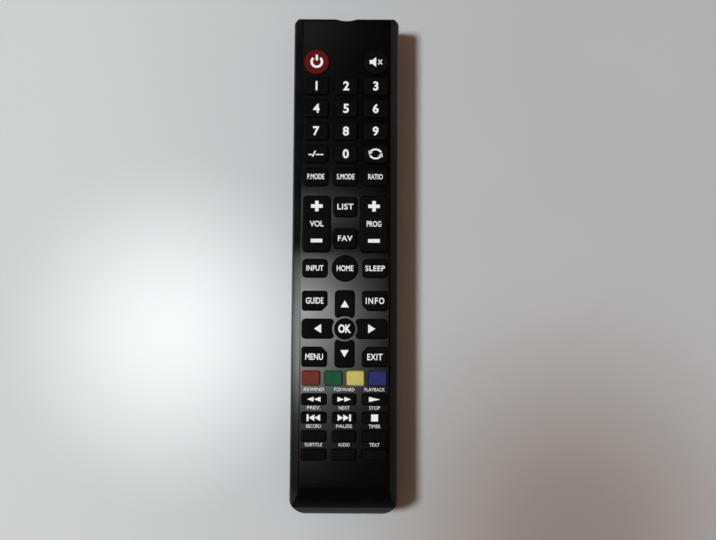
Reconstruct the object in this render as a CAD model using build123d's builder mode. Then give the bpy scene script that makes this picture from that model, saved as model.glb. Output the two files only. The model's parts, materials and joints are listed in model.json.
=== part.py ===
from build123d import *
import os

# Television remote control with a one-piece rubber keypad, in millimetres.
# X runs across the handset, +Y towards the infrared end and +Z out of the key face.
# The origin is under the middle of the back, on the surface that the handset lies on.

os.makedirs("parts", exist_ok=True)

# Housing: one outer form, split at the parting plane into a top and a bottom case
body_length = 205.0
body_width = 44.5
face_height = 20.4
parting_height = 11.0
wall = 1.8
nose_wall = 3.0
nose_corner = 3.5
tail_corner = 7.5
side_draft = 0.3
face_half_width = 18.3  # from the middle to the crease where the shoulders start
shoulder_drop = 3.1
crease_radius = 1.2
shoulder_radius = 2.0
back_radius = 5.0
tail_slope_start = -91.0
tail_slope_radius = 14.0
tail_slope_angle = 55.0
tail_edge_radius = 2.5
nose_edge_radius = 1.2
inner_cut = 0.65  # flat cut at an inner corner, as a share of that corner's radius

# Lip and snaps that join the two cases
lip_inset = 1.05
lip_height = 1.2
lip_clearance = 0.1
snap_length = 10.0
snap_reach = 0.4
snap_height = 0.6
snap_start = 0.4
snap_rows = (-60.0, 0.0, 60.0)

# Infrared window and lamp at the nose
scoop_width = 11.0
scoop_depth = 1.4
window_width = 9.0
window_height = 7.0
window_flange = 1.2
window_flange_thickness = 0.9
window_clearance = 0.1
lamp_radius = 2.5
lamp_length = 7.6
lamp_tip = 97.6
lamp_height = 10.6
lamp_leg = 0.5
lamp_leg_pitch = 2.54
lamp_leg_run = 2.5

# Two AAA cells side by side, with the bay that holds them
cell_radius = 5.25
cell_length = 44.5
cell_button_radius = 1.9
cell_button_length = 1.0
cell_offset = 5.55
cell_bottom = 2.0
bay_wall = 1.2
bay_half_width = 11.0
bay_tail = -96.5
bay_length = 48.4
bay_ceiling = 12.7
bay_ceiling_thickness = 0.9
contact_thickness = 0.4
contact_width = 8.4
spring_reach = 3.1
leaf_foot = 3.6
leaf_crown = 1.0
leaf_width = 5.0
tab_width = 2.0

# Battery cover, a plate with two side tongues that slides out of the tail
cover_length = 59.0
cover_half_width = 15.8
cover_clearance = 0.2
cover_end_height = 8.0
band_width = 1.8
tongue_reach = 1.5
tongue_bottom = 2.0
tongue_top = 2.95
ledge_bottom = 3.2
ledge_thickness = 1.1
ledge_half_width = 20.4
grip_place = 9.0
grip_grooves = 6
grip_width = 12.0
grip_pitch = 1.6
grip_depth = 0.5

# Circuit board and keypad stack
board_bottom = 13.8
board_thickness = 1.4
board_half_width = 19.4
board_tail = -97.4
board_nose = 96.0
mat_thickness = 0.8
mat_half_width = 18.9
mat_tail = -86.0
mat_nose = 92.5
frame_width = 0.8
frame_clearance = 0.05
rib_thickness = 1.0
rib_rows = (-30.0, -8.0, 14.0, 36.0, 58.0)
rib_half_width = 19.8
support_clearance = 0.05
post_reach = 2.2
post_x = 15.5
post_tail_row = -89.5
post_nose_row = 91.5
notch_rows = (-20.0, 70.0)
notch_depth = 0.8
locator_x = 18.8
wall_x = 20.9
window_rib_row = 97.5
window_rib_top = 6.9
chip_x = 3.0
chip_y = 47.0
chip_width = 7.5
chip_length = 12.8
chip_height = 2.2
lead_pairs = 6
lead_pitch = 1.9
lead_reach = 1.4
lead_thickness = 0.3
component_row = 79.0
capacitor_radius = 2.5
capacitor_length = 8.0
capacitor_x = -13.0
resonator_x = 8.0
resonator_width = 5.5
resonator_thickness = 2.6
resonator_height = 4.2

# Keys
key_rise = 1.2  # above the face
key_travel = 1.0
key_gap = 0.25  # between a key and its opening
rocker_end_gap = 0.35
key_corner = 1.3
small_corner = 0.7
key_chamfer = 0.3
flange_reach = 0.5
flange_limit = 17.75
flange_thickness = 1.2
flange_gap = 0.3
plunger_size = 3.2
plunger_gap = 0.3
contact_gap = 0.05
rocker_tilt_drop = 0.65
pivot_radius = 0.9
pivot_reach = 0.4  # past each side of a rocker

# Levels that follow from the sizes above
face_underside = face_height - wall
key_top = face_height + key_rise
flange_top = face_underside - flange_gap
flange_bottom = flange_top - flange_thickness
pivot_height = flange_top - pivot_radius
board_top = board_bottom + board_thickness
mat_top = board_top + mat_thickness
plunger_bottom = board_top + key_travel + contact_gap
rocker_plunger_bottom = board_top + rocker_tilt_drop + contact_gap
nose = body_length / 2
tail = -body_length / 2
cover_front = tail + cover_length
bay_front = bay_tail + bay_length
back_cut = (2 - 2**0.5) * back_radius
cell_height = cell_bottom + cell_radius

# Key layout in three columns, from the nose down to the tail
column_pitch = 12.3
key_width = 10.1
middle_width = 9.5
key_height = 7.4
round_radius = 5.25
top_row = 83.3
digit_row = 73.1
digit_pitch = 9.55
rocker_row = 15.3
rocker_width = 11.2
rocker_length = 23.0
rocker_column = 11.75
rocker_contact = 7.5
list_row = 22.4
favourite_row = 9.3
list_height = 8.2
input_row = -3.0
pad_row = -27.7
pad_key_width = 7.8
pad_inner = 5.4
pad_start = 4.5
pad_outer_x = 17.4
pad_outer_y = 15.6
ok_radius = 4.1
corner_offset = 11.4
corner_height = 7.8
corner_cut = 2.4
colour_row = -47.7
colour_pitch = 9.0
colour_width = 7.2
colour_height = 5.8
small_row = -56.2
small_pitch = 7.38
small_height = 4.4

# Every key by name: its outline, and the middle and size of the box round that outline
keys = {}
for side, name in ((-1, "power_key"), (1, "mute_key")):
    keys[name] = ("round", side * column_pitch, top_row, 2 * round_radius, 2 * round_radius)

digit_names = (
    ("digit_1_key", "digit_2_key", "digit_3_key"),
    ("digit_4_key", "digit_5_key", "digit_6_key"),
    ("digit_7_key", "digit_8_key", "digit_9_key"),
    ("two_digit_key", "digit_0_key", "recall_key"),
    ("picture_key", "sound_key", "ratio_key"),
)
small_names = (
    ("rewind_key", "forward_key", "play_key"),
    ("previous_key", "next_key", "stop_key"),
    ("record_key", "pause_key", "timer_key"),
    ("subtitle_key", "audio_key", "text_key"),
)
for block, kind, first_row, pitch, height in (
    (digit_names, "plain", digit_row, digit_pitch, key_height),
    (small_names, "small", small_row, small_pitch, small_height),
):
    for row, names in enumerate(block):
        for column, name in enumerate(names):
            x = (column - 1) * column_pitch
            width = middle_width if column == 1 else key_width
            keys[name] = (kind, x, first_row - row * pitch, width, height)

for side, name in ((-1, "volume_rocker"), (1, "channel_rocker")):
    keys[name] = ("rocker", side * rocker_column, rocker_row, rocker_width, rocker_length)
keys["list_key"] = ("plain", 0, list_row, middle_width, list_height)
keys["favourite_key"] = ("plain", 0, favourite_row, middle_width, list_height)
keys["input_key"] = ("plain", -column_pitch, input_row, key_width, key_height)
keys["home_key"] = ("round", 0, input_row, 2 * round_radius, 2 * round_radius)
keys["sleep_key"] = ("plain", column_pitch, input_row, key_width, key_height)

arrow_length_x = pad_outer_x - pad_start
arrow_length_y = pad_outer_y - pad_start
arrow_x = pad_start + arrow_length_x / 2
arrow_y = pad_start + arrow_length_y / 2
keys["up_key"] = ("arrow", 0, pad_row + arrow_y, pad_key_width, arrow_length_y)
keys["down_key"] = ("arrow", 0, pad_row - arrow_y, pad_key_width, arrow_length_y)
keys["left_key"] = ("arrow", -arrow_x, pad_row, arrow_length_x, pad_key_width)
keys["right_key"] = ("arrow", arrow_x, pad_row, arrow_length_x, pad_key_width)
keys["ok_key"] = ("round", 0, pad_row, 2 * ok_radius, 2 * ok_radius)
for side_x, side_y, name in (
    (-1, 1, "guide_key"),
    (1, 1, "info_key"),
    (-1, -1, "menu_key"),
    (1, -1, "exit_key"),
):
    y = pad_row + side_y * corner_offset
    keys[name] = ("corner", side_x * column_pitch, y, key_width, corner_height)

for place, name in enumerate(("red_key", "green_key", "yellow_key", "blue_key")):
    x = (place - 1.5) * colour_pitch
    keys[name] = ("small", x, colour_row, colour_width, colour_height)


def soft_rectangle(width, height, radius):
    """A rectangle whose corners turn in two cuts, which keeps so many keys light."""
    half_x, half_y = width / 2 - radius, height / 2 - radius
    turn = radius / 2**0.5
    right = [(half_x + radius, half_y), (half_x + turn, half_y + turn), (half_x, half_y + radius)]
    upper = right + [(-x, y) for x, y in reversed(right)]
    return Polygon(*upper, *[(-x, -y) for x, y in upper], align=None)


def key_outline(kind, x, y, width, height, grow=0.0, grow_ends=None):
    """A key in plan, grown all round for its opening, and by grow_ends at its two ends."""
    ends = grow if grow_ends is None else grow_ends
    with BuildSketch() as outline:
        with Locations((x, y)):
            if kind == "round":
                Circle(width / 2 + grow)
            elif kind in ("corner", "small"):
                Rectangle(width + 2 * grow, height + 2 * ends)
            else:
                soft_rectangle(width + 2 * grow, height + 2 * ends, key_corner + grow)
        if kind == "small":
            chamfer(outline.vertices(), small_corner)
        if kind == "arrow":
            with Locations((0, pad_row)):
                Circle(pad_inner - grow, mode=Mode.SUBTRACT)
        if kind == "corner":
            by_distance = outline.vertices().sort_by_distance((0, pad_row))
            chamfer(by_distance[0], corner_cut)
            chamfer(by_distance[1:], 0.6 * key_corner)
    return outline.sketch


def housing_outline(inset, nose_inset):
    """The housing in plan, pulled in by inset, and by nose_inset at the infrared end.

    The outer corners are round. Inside, where nothing shows, they are cut flat.
    """
    with BuildSketch() as outline:
        with Locations((0, (inset - nose_inset) / 2)):
            Rectangle(body_width - 2 * inset, body_length - inset - nose_inset)
        for end, radius in ((-1, nose_corner), (0, tail_corner)):
            corners = outline.vertices().group_by(Axis.Y)[end]
            if inset:
                chamfer(corners, inner_cut * (radius - inset))
            else:
                fillet(corners, radius)
    return outline.sketch


def housing_form(inset, nose_inset):
    """The closed housing as the overlap of its plan, its cross-section and its side view.

    The outer form has rounded edges. Inside, where nothing shows, the back edges are cut
    flat at the same wall thickness.
    """
    with BuildPart() as form:
        add(housing_outline(inset, nose_inset))
        extrude(amount=face_height)

        with BuildSketch(Plane.XZ) as section:
            half_width = body_width / 2
            with BuildLine():
                Polyline(
                    (0, 0),
                    (half_width - side_draft, 0),
                    (half_width, parting_height),
                    (half_width - side_draft, face_height - shoulder_drop),
                    (face_half_width, face_height),
                    (0, face_height),
                    close=True,
                )
            make_face()
            if inset:
                chamfer(section.vertices().sort_by_distance((half_width, 0))[0], back_cut)
            else:
                for corner, radius in (
                    ((half_width, 0), back_radius),
                    ((half_width, face_height - shoulder_drop), shoulder_radius),
                    ((face_half_width, face_height), crease_radius),
                ):
                    fillet(section.vertices().sort_by_distance(corner)[0], radius)
            mirror(about=Plane.YZ)
            if inset:
                offset(amount=-inset, kind=Kind.INTERSECTION, mode=Mode.REPLACE)
        extrude(amount=body_length, both=True, mode=Mode.INTERSECT)

        with BuildSketch(Plane.YZ) as side:
            with BuildLine():
                slope = JernArc(
                    (tail_slope_start, face_height), (-1, 0), tail_slope_radius, tail_slope_angle
                )
                Polyline(
                    slope @ 1,
                    (tail, parting_height),
                    (tail + side_draft, 0),
                    (nose - side_draft, 0),
                    (nose, parting_height),
                    (nose - side_draft, face_height),
                    slope @ 0,
                )
            make_face()
            if inset:
                chamfer(side.vertices().group_by(Axis.Y)[0], back_cut)
                offset(amount=-inset, kind=Kind.INTERSECTION, mode=Mode.REPLACE)
            else:
                fillet(side.vertices().group_by(Axis.Y)[0], back_radius)
                fillet(side.vertices().sort_by_distance(slope @ 1)[0], tail_edge_radius)
                fillet(side.vertices().sort_by_distance((nose, face_height))[0], nose_edge_radius)
        extrude(amount=body_width, both=True, mode=Mode.INTERSECT)
    return form.part


def save(piece, name):
    """Labels a finished part and writes it to its own STEP file."""
    piece.label = name
    export_step(piece, f"parts/{name}.step")
    print(name, round(piece.volume, 1), "mm3 in", len(piece.solids()), "solid(s)")


outer_form = housing_form(0, 0)
inner_form = housing_form(wall, nose_wall)
with BuildPart() as shell:
    add(outer_form)
    add(inner_form, mode=Mode.SUBTRACT)

# Scoop in the nose and the opening for the infrared window, cut through both cases
scoop_radius = (scoop_width**2 / 4 + scoop_depth**2) / (2 * scoop_depth)
scoop_centre = (0, nose - scoop_depth + scoop_radius)
with BuildPart() as nose_cut:
    with BuildSketch():
        with Locations(scoop_centre):
            Circle(scoop_radius)
        with Locations((0, nose)):
            Rectangle(body_width, 4 * scoop_depth, mode=Mode.INTERSECT)
    extrude(amount=face_height)
    with Locations((0, nose, parting_height)):
        Box(
            window_width + 2 * window_clearance,
            2 * nose_wall + 1,
            window_height + 2 * window_clearance,
        )

# Top case: the face with a moulded opening for every key
with BuildPart() as top_case:
    add(shell.part)
    split(bisect_by=Plane.XY.offset(parting_height), keep=Keep.TOP)

    # rebate for the bottom case's lip, with pockets for its snaps
    with BuildSketch(Plane.XY.offset(parting_height)):
        add(housing_outline(lip_inset - lip_clearance, lip_inset - lip_clearance))
    extrude(amount=lip_height + lip_clearance, mode=Mode.SUBTRACT)
    pocket_half_width = body_width / 2 - lip_inset + snap_reach + lip_clearance
    with BuildSketch(Plane.XY.offset(parting_height + snap_start - lip_clearance)):
        with Locations(*[(0, y) for y in snap_rows]):
            Rectangle(2 * pocket_half_width, snap_length + 4 * lip_clearance)
    extrude(amount=snap_height + 2 * lip_clearance, mode=Mode.SUBTRACT)

    # frame that clamps the keypad's edges onto the circuit board
    with BuildSketch(Plane.XY.offset(mat_top + frame_clearance)):
        with Locations((0, (mat_tail + mat_nose) / 2)):
            Rectangle(2 * mat_half_width, mat_nose - mat_tail)
            Rectangle(
                2 * (mat_half_width - frame_width),
                mat_nose - mat_tail - 2 * frame_width,
                mode=Mode.SUBTRACT,
            )
    extrude(until=Until.NEXT, target=top_case.part)

    # one opening for each key
    openings = [
        key_outline(*key, key_gap, rocker_end_gap if key[0] == "rocker" else key_gap)
        for key in keys.values()
    ]
    with BuildSketch(Plane.XY.offset(face_underside - 1)):
        add(openings)
    extrude(amount=wall + 2, mode=Mode.SUBTRACT)
    add(nose_cut.part, mode=Mode.SUBTRACT)
save(top_case.part, "top_case")


# Battery cover: one cross-section all along the slide, so that it can only leave by the tail
def cover_section(gap):
    """The cover's cross-section with its tongues, grown by gap for the opening in the case."""
    half_width, half_reach = cover_half_width + gap, cover_half_width + tongue_reach + gap
    low, high = tongue_bottom - gap, tongue_top + gap
    with BuildSketch(Plane.XZ.offset(cover_clearance - gap - cover_front)) as section:
        with BuildLine():
            Polyline(
                (0, -gap),
                (half_width, -gap),
                (half_width, low),
                (half_reach, low),
                (half_reach, high),
                (half_width, high),
                (half_width, cover_end_height + gap),
                (0, cover_end_height + gap),
                close=True,
            )
        make_face()
        mirror(about=Plane.YZ)
    return section.sketch


slide_out = (0, -1, 0)
with BuildPart() as cover_hollow:
    add(inner_form)
    with BuildSketch(Plane.XZ):
        above = (Align.CENTER, Align.MIN)
        Rectangle(2 * (cover_half_width - band_width), body_width, align=above)
        with Locations((0, tongue_top)):
            Rectangle(body_width, body_width, align=above)
    extrude(amount=body_length, both=True, mode=Mode.INTERSECT)

with BuildPart() as battery_cover:
    add(outer_form)
    add(cover_section(0))
    extrude(amount=body_length, dir=slide_out, mode=Mode.INTERSECT)
    add(cover_hollow.part, mode=Mode.SUBTRACT)

    # thumb grip: grooves across the underside near the front edge
    with BuildSketch():
        with Locations((0, cover_front - grip_place)):
            with GridLocations(0, grip_pitch, 1, grip_grooves):
                Rectangle(grip_width, grip_pitch / 2)
    extrude(amount=grip_depth, mode=Mode.SUBTRACT)
save(battery_cover.part, "battery_cover")

# Bottom case: the tray with its lip, its ribs and posts, and the battery bay
with BuildPart() as bottom_case:
    add(shell.part)
    split(bisect_by=Plane.XY.offset(parting_height), keep=Keep.BOTTOM)

    # lip that enters the top case, with three snaps a side
    with BuildSketch(Plane.XY.offset(parting_height)):
        add(housing_outline(lip_inset, lip_inset))
        add(housing_outline(wall, nose_wall), mode=Mode.SUBTRACT)
    extrude(amount=lip_height)
    snap_x = body_width / 2 - lip_inset
    snap_bottom = parting_height + snap_start
    for y in snap_rows:
        with BuildSketch(Plane.XZ.offset(-y)):
            with BuildLine():
                Polyline(
                    (snap_x - 0.3, snap_bottom),
                    (snap_x + snap_reach, snap_bottom),
                    (snap_x - 0.3, snap_bottom + snap_height),
                    close=True,
                )
            make_face()
            mirror(about=Plane.YZ)
        extrude(amount=snap_length / 2, both=True)
    add(nose_cut.part, mode=Mode.SUBTRACT)

    # way out for the battery cover, and a step in front of it that stops its tongues
    add(cover_section(cover_clearance))
    extrude(amount=body_length, dir=slide_out, mode=Mode.SUBTRACT)
    with BuildSketch(Plane.XY.offset(wall - 0.2)):
        with Locations((0, cover_front + rib_thickness / 2)):
            Rectangle(2 * (cover_half_width + tongue_reach + 1), rib_thickness)
    extrude(amount=ledge_bottom - wall + 0.3)

    # ledges over the tongues, which also carry the battery bay
    bay_middle = (0, (bay_tail + bay_front) / 2)
    with BuildSketch(Plane.XY.offset(ledge_bottom)):
        with Locations((0, cover_front + rib_thickness)):
            ledge_length = cover_front + rib_thickness - bay_tail + bay_wall
            above = (Align.CENTER, Align.MAX)
            Rectangle(2 * ledge_half_width, ledge_length, align=above)
    extrude(amount=ledge_thickness)
    with BuildSketch(Plane.XY.offset(ledge_bottom)):
        with Locations(bay_middle):
            Rectangle(2 * (bay_half_width + bay_wall), bay_length + 2 * bay_wall)
    extrude(amount=bay_ceiling + bay_ceiling_thickness - ledge_bottom)
    with BuildSketch(Plane.XY.offset(ledge_bottom)):
        with Locations(bay_middle):
            Rectangle(2 * bay_half_width, bay_length)
    extrude(amount=bay_ceiling - ledge_bottom, mode=Mode.SUBTRACT)
    with BuildSketch(Plane.XY.offset(bay_ceiling)):
        with Locations(*[(side * cell_offset, bay_tail + contact_thickness / 2) for side in (-1, 1)]):
            Rectangle(tab_width + 0.4, contact_thickness + 0.4)
    extrude(amount=bay_ceiling_thickness, mode=Mode.SUBTRACT)

    # cross ribs and cruciform posts up to the circuit board
    support_top = board_bottom - support_clearance
    with BuildSketch(Plane.XY.offset(wall - 0.2)):
        with Locations(*[(0, y) for y in rib_rows]):
            Rectangle(2 * rib_half_width, rib_thickness)
    extrude(amount=support_top - wall + 0.2)
    for y, foot in ((post_tail_row, ledge_bottom + 0.2), (post_nose_row, wall - 0.2)):
        with BuildSketch(Plane.XY.offset(foot)):
            with Locations((-post_x, y), (post_x, y)):
                Rectangle(2 * post_reach, rib_thickness)
                Rectangle(rib_thickness, 2 * post_reach)
        extrude(amount=support_top - foot)

    # low rib behind the window's flange, and keys on the side walls for the board's notches
    with BuildSketch(Plane.XY.offset(wall - 0.2)):
        with Locations((0, window_rib_row)):
            Rectangle(window_width + 4, rib_thickness)
    extrude(amount=window_rib_top - wall + 0.2)
    for y in notch_rows:
        with BuildSketch(Plane.XZ.offset(-y)):
            with BuildLine():
                Polyline(
                    (locator_x, parting_height - 4),
                    (wall_x, parting_height - 4),
                    (wall_x, parting_height),
                    (board_half_width + 0.4, parting_height),
                    (board_half_width + 0.4, board_top),
                    (locator_x, board_top),
                    close=True,
                )
            make_face()
            mirror(about=Plane.YZ)
        extrude(amount=rib_thickness, both=True)
save(bottom_case.part, "bottom_case")

# Infrared window: its front follows the scoop, and a flange inside holds it
with BuildPart() as ir_window:
    with Locations((0, nose, parting_height)):
        Box(window_width, 2 * (nose_wall + window_clearance), window_height)
    with BuildSketch():
        with Locations(scoop_centre):
            Circle(scoop_radius + window_clearance)
    extrude(amount=face_height, mode=Mode.SUBTRACT)
    flange_y = nose - nose_wall - window_clearance - window_flange_thickness / 2
    with Locations((0, flange_y, parting_height)):
        Box(
            window_width + 2 * window_flange,
            window_flange_thickness,
            window_height + 2 * window_flange,
        )
save(ir_window.part, "ir_window")

# Infrared lamp, with its two legs bent up to the board
with BuildPart() as ir_led:
    with BuildSketch(Plane.XZ.offset(lamp_length - lamp_tip)):
        with Locations((0, lamp_height)):
            Circle(lamp_radius)
    extrude(amount=-lamp_length)
    with BuildSketch(Plane.YZ):
        with BuildLine():
            heel = lamp_tip - lamp_length
            Polyline(
                (heel + 1, lamp_height),
                (heel - lamp_leg_run, lamp_height),
                (heel - lamp_leg_run, board_bottom),
                (heel - lamp_leg_run + lamp_leg, board_bottom),
                (heel - lamp_leg_run + lamp_leg, lamp_height + lamp_leg),
                (heel + 1, lamp_height + lamp_leg),
                close=True,
            )
        make_face()
    extrude(amount=(lamp_leg_pitch + lamp_leg) / 2, both=True)
    with Locations((0, heel - lamp_leg_run / 2 - 0.5, board_bottom)):
        Box(
            lamp_leg_pitch - lamp_leg,
            lamp_leg_run + 1,
            2 * (board_bottom - lamp_height) + 1,
            mode=Mode.SUBTRACT,
        )
save(ir_led.part, "ir_led")

# Circuit board, with a notch for each locating key
with BuildPart() as circuit_board:
    with BuildSketch(Plane.XY.offset(board_bottom)):
        with Locations((0, (board_tail + board_nose) / 2)):
            Rectangle(2 * board_half_width, board_nose - board_tail)
        with Locations(*[(side * board_half_width, y) for y in notch_rows for side in (-1, 1)]):
            Rectangle(2 * notch_depth, 2 * rib_thickness + 0.4, mode=Mode.SUBTRACT)
    extrude(amount=board_thickness)
save(circuit_board.part, "circuit_board")

# Controller chip under the board: a moulded body over a row of leads
with BuildPart() as control_chip:
    with Locations((chip_x, chip_y, board_bottom - chip_height / 2)):
        Box(chip_width, chip_length, chip_height)
    chamfer(control_chip.faces().sort_by(Axis.Z)[0].edges(), 0.4)
    with BuildSketch(Plane.XY.offset(board_bottom)):
        with Locations((chip_x, chip_y)):
            with GridLocations(0, lead_pitch, 1, lead_pairs):
                Rectangle(chip_width + 2 * lead_reach, lead_pitch / 3)
    extrude(amount=-lead_thickness)
save(control_chip.part, "control_chip")

# Reservoir capacitor lying under the board, and the ceramic resonator beside it
with BuildPart() as board_components:
    with BuildSketch(Plane.YZ.offset(capacitor_x)):
        with Locations((component_row, board_bottom - capacitor_radius)):
            Circle(capacitor_radius)
    extrude(amount=capacitor_length)
    with BuildSketch(Plane.XY.offset(board_bottom)):
        with Locations((resonator_x, component_row)):
            Rectangle(resonator_width, resonator_thickness)
    extrude(amount=-resonator_height)
save(board_components.part, "board_components")

# Silicone keypad sheet between the board and the keys, open under every plunger
plungers = {}
for name, (kind, x, y, width, height) in keys.items():
    reach = rocker_contact if kind == "rocker" else 0
    plungers[name] = [(x, y - reach), (x, y + reach)] if reach else [(x, y)]

with BuildPart() as keypad_mat:
    with BuildSketch(Plane.XY.offset(board_top)):
        with Locations((0, (mat_tail + mat_nose) / 2)):
            Rectangle(2 * mat_half_width, mat_nose - mat_tail)
        with Locations(*[place for places in plungers.values() for place in places]):
            hole = plunger_size + 2 * plunger_gap
            Rectangle(hole, hole, mode=Mode.SUBTRACT)
    extrude(amount=mat_thickness)
save(keypad_mat.part, "keypad_mat")


def key_flange(kind, x, y, width, height):
    """The flange that keeps a key behind the face, clear of the shoulders and of its neighbours."""
    with BuildSketch() as flange:
        with Locations((x, y)):
            if (x, y) == (0, pad_row):
                RegularPolygon(width / 2 + flange_reach, 8, major_radius=False)
            else:
                Rectangle(width + 2 * flange_reach, height + 2 * flange_reach)
        if kind == "arrow":
            with Locations((0, pad_row)):
                Rectangle(2 * pad_inner, 2 * pad_inner, mode=Mode.SUBTRACT)
        with Locations((0, y)):
            Rectangle(2 * flange_limit, body_width, mode=Mode.INTERSECT)
    return flange.sketch


# Keys: a cap through the face, a flange behind it and a plunger over the board's contact.
# A rocker tips on a round pin that reaches under the face at both its sides.
for name, (kind, x, y, width, height) in keys.items():
    with BuildPart() as key:
        with BuildSketch(Plane.XY.offset(flange_bottom)):
            add(key_outline(kind, x, y, width, height))
        extrude(amount=key_top - flange_bottom)
        if kind != "round":
            chamfer(key.faces().sort_by(Axis.Z)[-1].edges(), key_chamfer)

        if kind == "rocker":
            with Locations((x, y, pivot_height)):
                Cylinder(pivot_radius, width + 2 * pivot_reach, rotation=(0, 90, 0))
        else:
            with BuildSketch(Plane.XY.offset(flange_bottom)):
                add(key_flange(kind, x, y, width, height))
            extrude(amount=flange_thickness)

        with BuildSketch(Plane.XY.offset(flange_bottom)):
            with Locations(*plungers[name]):
                Rectangle(plunger_size, plunger_size)
        foot = rocker_plunger_bottom if kind == "rocker" else plunger_bottom
        extrude(amount=foot - flange_bottom)
    save(key.part, name)

# Two AAA cells, the left one with its plus end at the tail and the right one at the nose
cell_body = cell_length - cell_button_length
left_front = bay_front - contact_thickness - spring_reach
right_front = bay_front - contact_thickness - cell_button_length
with BuildPart() as battery_cells:
    for x, front, button_plane_y, way in (
        (-cell_offset, left_front, left_front - cell_body, 1),
        (cell_offset, right_front, right_front, -1),
    ):
        with BuildSketch(Plane.XZ.offset(-front)):
            with Locations((x, cell_height)):
                Circle(cell_radius)
        extrude(amount=cell_body)
        with BuildSketch(Plane.XZ.offset(-button_plane_y)):
            with Locations((x, cell_height)):
                Circle(cell_button_radius)
        extrude(amount=way * cell_button_length)
save(battery_cells.part, "battery_cells")

# Contacts: a link plate at the front of the bay and two plates with tabs at its tail,
# each minus end on a bowed leaf
plate_height = bay_ceiling - 0.3 - ledge_bottom - 0.2
with BuildPart() as battery_contacts:
    with Locations((0, bay_front - contact_thickness / 2, ledge_bottom + 0.2 + plate_height / 2)):
        Box(2 * (cell_offset + contact_width / 2), contact_thickness, plate_height)
    for side in (-1, 1):
        y = bay_tail + contact_thickness / 2
        with Locations((side * cell_offset, y, ledge_bottom + 0.2 + plate_height / 2)):
            Box(contact_width, contact_thickness, plate_height)
        with Locations((side * cell_offset, y, board_bottom - 1)):
            Box(tab_width, contact_thickness, 2)
        x = side * cell_offset
        plate_y = bay_tail + contact_thickness if side > 0 else bay_front - contact_thickness
        with BuildSketch(Plane.XY.offset(cell_height - leaf_width / 2)):
            for thinner, mode in ((0, Mode.ADD), (contact_thickness, Mode.SUBTRACT)):
                foot, crown = leaf_foot - 1.4 * thinner, leaf_crown - 0.5 * thinner
                crown_y = plate_y + side * (spring_reach - thinner)
                Polygon(
                    (x - foot, plate_y),
                    (x - crown, crown_y),
                    (x + crown, crown_y),
                    (x + foot, plate_y),
                    align=None,
                    mode=mode,
                )
        extrude(amount=leaf_width)
save(battery_contacts.part, "battery_contacts")
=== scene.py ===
import bmesh
import bpy
import json
import math
import numpy as np
from mathutils import Matrix, Vector


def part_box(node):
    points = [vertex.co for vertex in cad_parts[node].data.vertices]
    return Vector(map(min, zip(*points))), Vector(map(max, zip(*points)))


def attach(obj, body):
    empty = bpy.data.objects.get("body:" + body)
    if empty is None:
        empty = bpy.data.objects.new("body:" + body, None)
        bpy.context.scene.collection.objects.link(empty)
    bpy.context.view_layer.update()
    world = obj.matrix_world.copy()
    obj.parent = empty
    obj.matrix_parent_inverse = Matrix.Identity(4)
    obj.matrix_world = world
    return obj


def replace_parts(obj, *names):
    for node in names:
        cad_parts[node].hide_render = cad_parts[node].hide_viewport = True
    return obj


# Television remote control: finishes, key caps, white print, floor, light and camera.
# The frame is in metres. Sizes written here are in millimetres and turned by mm.

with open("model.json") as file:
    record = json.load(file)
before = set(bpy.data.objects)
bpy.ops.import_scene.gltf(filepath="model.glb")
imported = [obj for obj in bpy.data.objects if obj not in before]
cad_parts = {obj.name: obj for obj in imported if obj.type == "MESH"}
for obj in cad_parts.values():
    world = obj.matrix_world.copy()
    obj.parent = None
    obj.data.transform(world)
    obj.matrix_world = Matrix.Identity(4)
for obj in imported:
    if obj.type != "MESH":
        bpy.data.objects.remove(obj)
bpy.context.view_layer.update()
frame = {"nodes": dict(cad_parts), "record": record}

mm = 0.001
scene = bpy.context.scene


# Colour and shader helpers
def linearColour(hexCode):
    # sRGB hex to the linear values that shaders take: a straight line near black, and the power
    # of 2.4 above it
    channels = np.array([int(hexCode[i:i + 2], 16) for i in (1, 3, 5)]) / 255
    linear = np.where(channels <= 0.04045, channels / 12.92, ((channels + 0.055) / 1.055) ** 2.4)
    return (*linear.tolist(), 1.0)


def addNode(tree, kind, inputs=None, **attributes):
    # one shader node: its attributes set, and each input given a value or joined to a socket
    node = tree.nodes.new("ShaderNode" + kind)
    for name, value in attributes.items():
        setattr(node, name, value)
    for name, value in (inputs or {}).items():
        if isinstance(value, bpy.types.NodeSocket):
            tree.links.new(value, node.inputs[name])
        else:
            node.inputs[name].default_value = value
    return node


def fillRamp(ramp, places, colours):
    # a colour ramp's stops, at rising places from 0 to 1
    stops = ramp.color_ramp.elements
    for place in places[1:-1]:
        stops.new(place)
    for stop, place, colour in zip(stops, places, colours):
        stop.position, stop.color = place, colour


def startFinish(name):
    finish = bpy.data.materials.new(name)
    finish.use_nodes = True
    finish.node_tree.nodes.clear()
    tree = finish.node_tree
    return finish, tree, addNode(tree, "TexCoord").outputs["Object"]


noiseMiddle = {"From Min": 0.3, "From Max": 0.7}  # nearly all of a noise lies between these


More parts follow.
